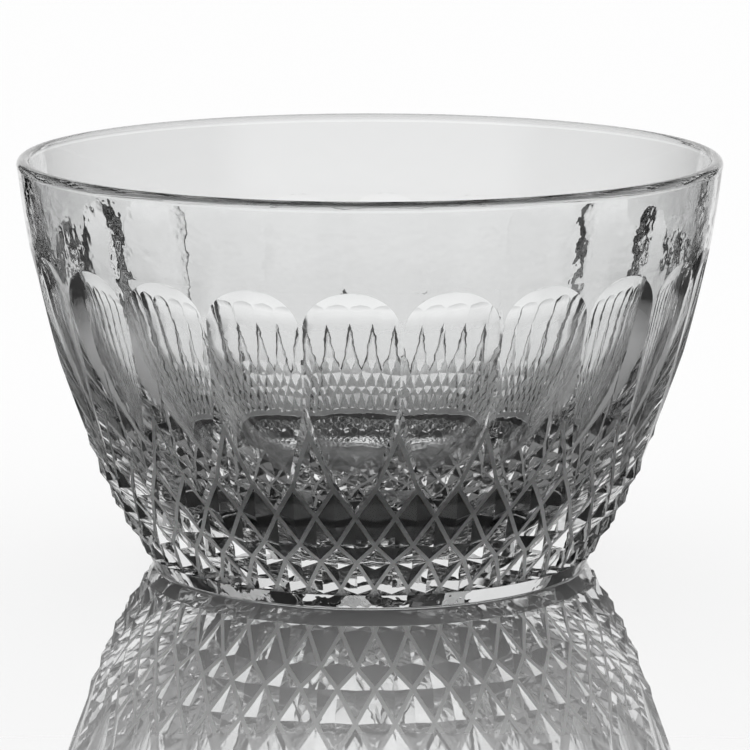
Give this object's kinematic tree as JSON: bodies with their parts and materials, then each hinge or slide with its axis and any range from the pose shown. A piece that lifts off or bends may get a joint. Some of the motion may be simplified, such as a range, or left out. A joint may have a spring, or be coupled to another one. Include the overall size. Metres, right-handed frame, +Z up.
{
  "type": "trifle bowl",
  "caption": "Deep round serving bowl of clear pressed glass with a plain rim band, pointed flutes, a diamond-cut lower band and a short foot ring.",
  "frame": {"origin": "on the bowl's axis, at the surface that the foot ring stands on", "axes": "+Z up along the bowl's axis, -Y through the middle of one flute"},
  "size_m": [0.204, 0.204, 0.12],
  "materials": {
    "clear_glass": "clear colourless fire-polished pressed glass"
  },
  "bodies": {
    "root": {"bowl": "clear_glass"}
  },
  "joints": []
}
